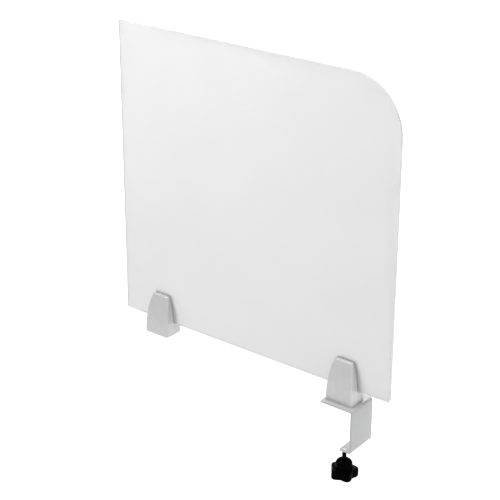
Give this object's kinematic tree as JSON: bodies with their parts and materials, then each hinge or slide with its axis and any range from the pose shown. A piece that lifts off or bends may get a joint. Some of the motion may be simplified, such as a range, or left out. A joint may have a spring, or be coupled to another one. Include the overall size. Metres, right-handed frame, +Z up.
{
  "type": "desk privacy panel",
  "caption": "Frosted acrylic desk privacy panel held by two tapered clips, one bolted to a C-shaped desk-edge clamp with a star-knob screw.",
  "frame": {"origin": "on the desk's top surface, under the middle of the clamp bracket's top plate, in the plane of the sheet's mid-thickness", "axes": "+X along the sheet towards the clamp end and its large corner radius, -Y the front face, +Z up"},
  "size_m": [0.627, 0.0849, 0.7648],
  "materials": {
    "sheet": "frosted translucent acrylic, satin on both faces, polished edges",
    "shell": "light grey moulded shell, fine satin texture",
    "bracket": "light grey powder coat on bent steel",
    "core": "as cast",
    "rubber": "soft grey rubber",
    "zinc": "bright zinc plate",
    "insert": "turned brass",
    "black_steel": "black oxide, slightly oiled",
    "knob": "black glass-filled nylon, fine matt texture",
    "tip": "natural nylon"
  },
  "bodies": {
    "panel_and_clips": {"panel_sheet": "sheet", "clamp_bracket": "bracket", "desk_pad": "rubber", "bracket_bolt_left": "zinc", "bracket_bolt_right": "zinc", "foot_pad": "rubber", "foot_bolt_left": "zinc", "foot_bolt_right": "zinc", "jaw_bush": "bracket", "clamp_clip_front_shell": "shell", "clamp_clip_back_shell": "shell", "clamp_clip_core": "core", "clamp_clip_front_liner": "rubber", "clamp_clip_back_liner": "rubber", "clamp_clip_edge_rest": "rubber", "clamp_clip_pressure_plate": "zinc", "clamp_clip_grub_screw_left": "black_steel", "clamp_clip_grub_screw_right": "black_steel", "clamp_clip_shell_bolt_left": "zinc", "clamp_clip_shell_bolt_right": "zinc", "clamp_clip_shell_insert_left": "insert", "clamp_clip_shell_insert_right": "insert", "foot_clip_front_shell": "shell", "foot_clip_back_shell": "shell", "foot_clip_core": "core", "foot_clip_front_liner": "rubber", "foot_clip_back_liner": "rubber", "foot_clip_edge_rest": "rubber", "foot_clip_pressure_plate": "zinc", "foot_clip_grub_screw_left": "black_steel", "foot_clip_grub_screw_right": "black_steel", "foot_clip_shell_bolt_left": "zinc", "foot_clip_shell_bolt_right": "zinc", "foot_clip_shell_insert_left": "insert", "foot_clip_shell_insert_right": "insert"},
    "thrust_tip": {"screw_tip": "tip"},
    "knob_and_screw": {"clamp_screw": "black_steel", "knob_body": "knob", "knob_cap": "knob"}
  },
  "joints": [
    {"name": "clamp_travel", "type": "slide", "parent": "panel_and_clips", "child": "thrust_tip", "axis": [0, 0, 1], "range_m": [0, 0.0125]},
    {"name": "knob_turn", "type": "hinge", "parent": "thrust_tip", "child": "knob_and_screw", "pos_m": [0.017, -0.0273, -0.125], "axis": [0, 0, 1], "range_deg": [0, 3600]}
  ],
  "couplings": [
    {"joint": "knob_turn", "follows": "clamp_travel", "rad_per_m": 5026.5}
  ]
}
